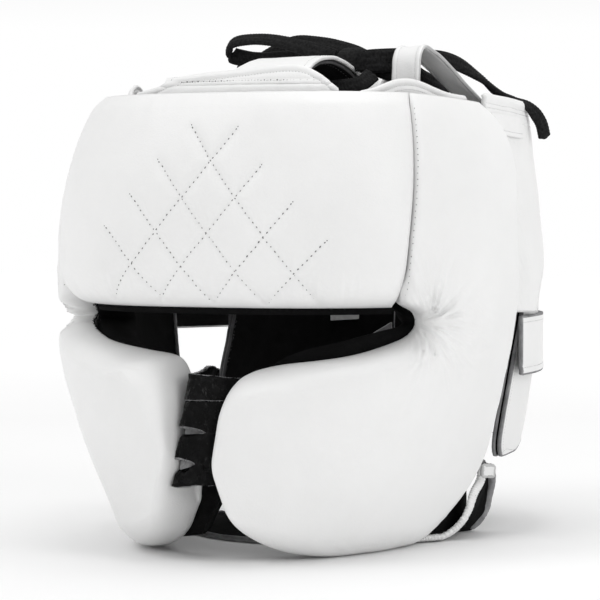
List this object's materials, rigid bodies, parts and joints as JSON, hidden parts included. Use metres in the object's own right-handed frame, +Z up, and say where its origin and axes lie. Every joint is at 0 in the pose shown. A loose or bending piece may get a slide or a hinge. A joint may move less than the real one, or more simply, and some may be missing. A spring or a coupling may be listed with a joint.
{
  "type": "boxing headgear",
  "caption": "Padded full-face leather boxing headgear with a visor slot, quilted brow, laced crown, strap across the mouth gap, closing strap behind and a chin strap",
  "frame": {"origin": "middle of the footprint, on the surface that the cheek pads and the chin strap stand on", "axes": "+Z up, the face looks along -Y, +X is the wearer's left"},
  "size_m": [0.2118, 0.2686, 0.2405],
  "materials": {
    "white_leather": "smooth with a fine grain, satin",
    "black_suede": "matt napped suede",
    "patent_leather": "glossy, creased",
    "raw_suede": "rough cut flesh side, matt",
    "label_cloth": "plain woven, matt",
    "black_lace": "flat braid, matt"
  },
  "bodies": {
    "root": {"forehead_pad": "white_leather", "forehead_lining": "black_suede", "side_pad_left": "white_leather", "side_pad_right": "white_leather", "side_lining_left": "black_suede", "side_lining_right": "black_suede", "front_tab": "white_leather", "side_hem_left": "white_leather", "side_hem_right": "white_leather", "ear_gusset_left": "white_leather", "ear_gusset_right": "white_leather", "rear_hem_left": "white_leather", "rear_hem_right": "white_leather", "rear_panel_left": "white_leather", "rear_suede_left": "black_suede", "rear_panel_right": "white_leather", "rear_suede_right": "black_suede", "rear_strap_left": "white_leather", "rear_strap_right": "white_leather", "crown_flap": "white_leather", "crown_flap_lining": "black_suede", "loop_left": "white_leather", "loop_right": "white_leather", "loop_back": "white_leather", "mouth_bridge": "patent_leather", "chin_strap": "raw_suede", "jaw_tab_left": "white_leather", "jaw_tab_right": "white_leather", "label": "label_cloth", "lace_ring": "black_lace", "lace_bow": "black_lace", "lace_tail": "black_lace", "lace_end": "black_lace", "lace_strand": "black_lace"}
  },
  "joints": []
}
